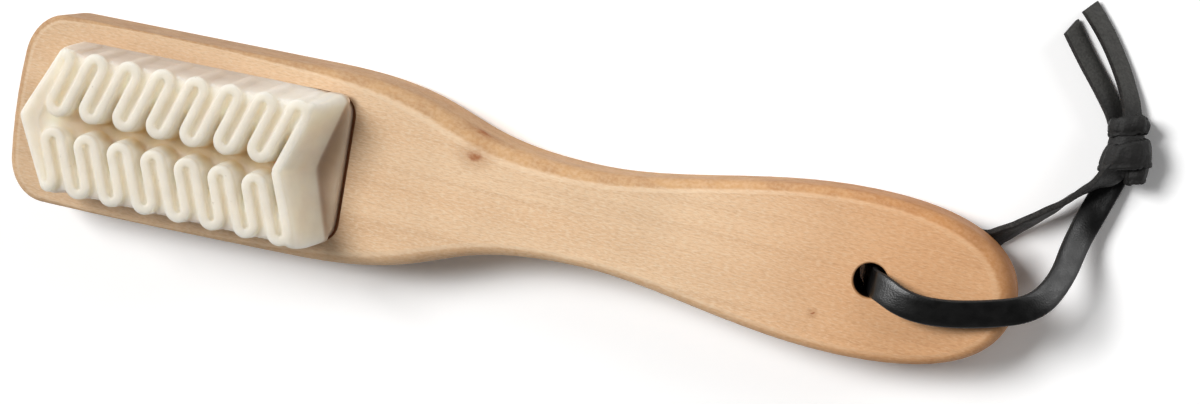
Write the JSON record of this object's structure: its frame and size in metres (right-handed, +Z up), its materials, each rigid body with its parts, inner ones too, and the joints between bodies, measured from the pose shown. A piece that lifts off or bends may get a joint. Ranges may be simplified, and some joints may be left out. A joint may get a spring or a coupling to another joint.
{
  "type": "suede brush",
  "caption": "Flat wooden shoe-care brush with a ribbed crepe rubber pad let into its broad head, a narrow neck, and a knotted leather hanging lace through a hole in its tail.",
  "frame": {"origin": "under the middle of the board, on the surface that the brush's back lies on", "axes": "+X from the head to the tail, +Y across the brush towards the side the lace is swung to, +Z up, the way the crepe pad faces"},
  "size_m": [0.2193, 0.0764, 0.028],
  "materials": {
    "wood": "waxed beech",
    "glue": "dried brown glue",
    "crepe": "matte natural crepe",
    "lace": "matte black leather"
  },
  "bodies": {
    "brush": {"handle": "wood", "glue_bed": "glue", "crepe_pad": "crepe"},
    "lace": {"lace_over": "lace", "lace_under": "lace", "lace_in_hole": "lace", "lace_knot": "lace"}
  },
  "joints": [
    {"name": "lace_swing", "type": "hinge", "parent": "brush", "child": "lace", "pos_m": [0.073, 0, 0.009], "axis": [0, 0, 1], "range_deg": [-135, 60]}
  ]
}
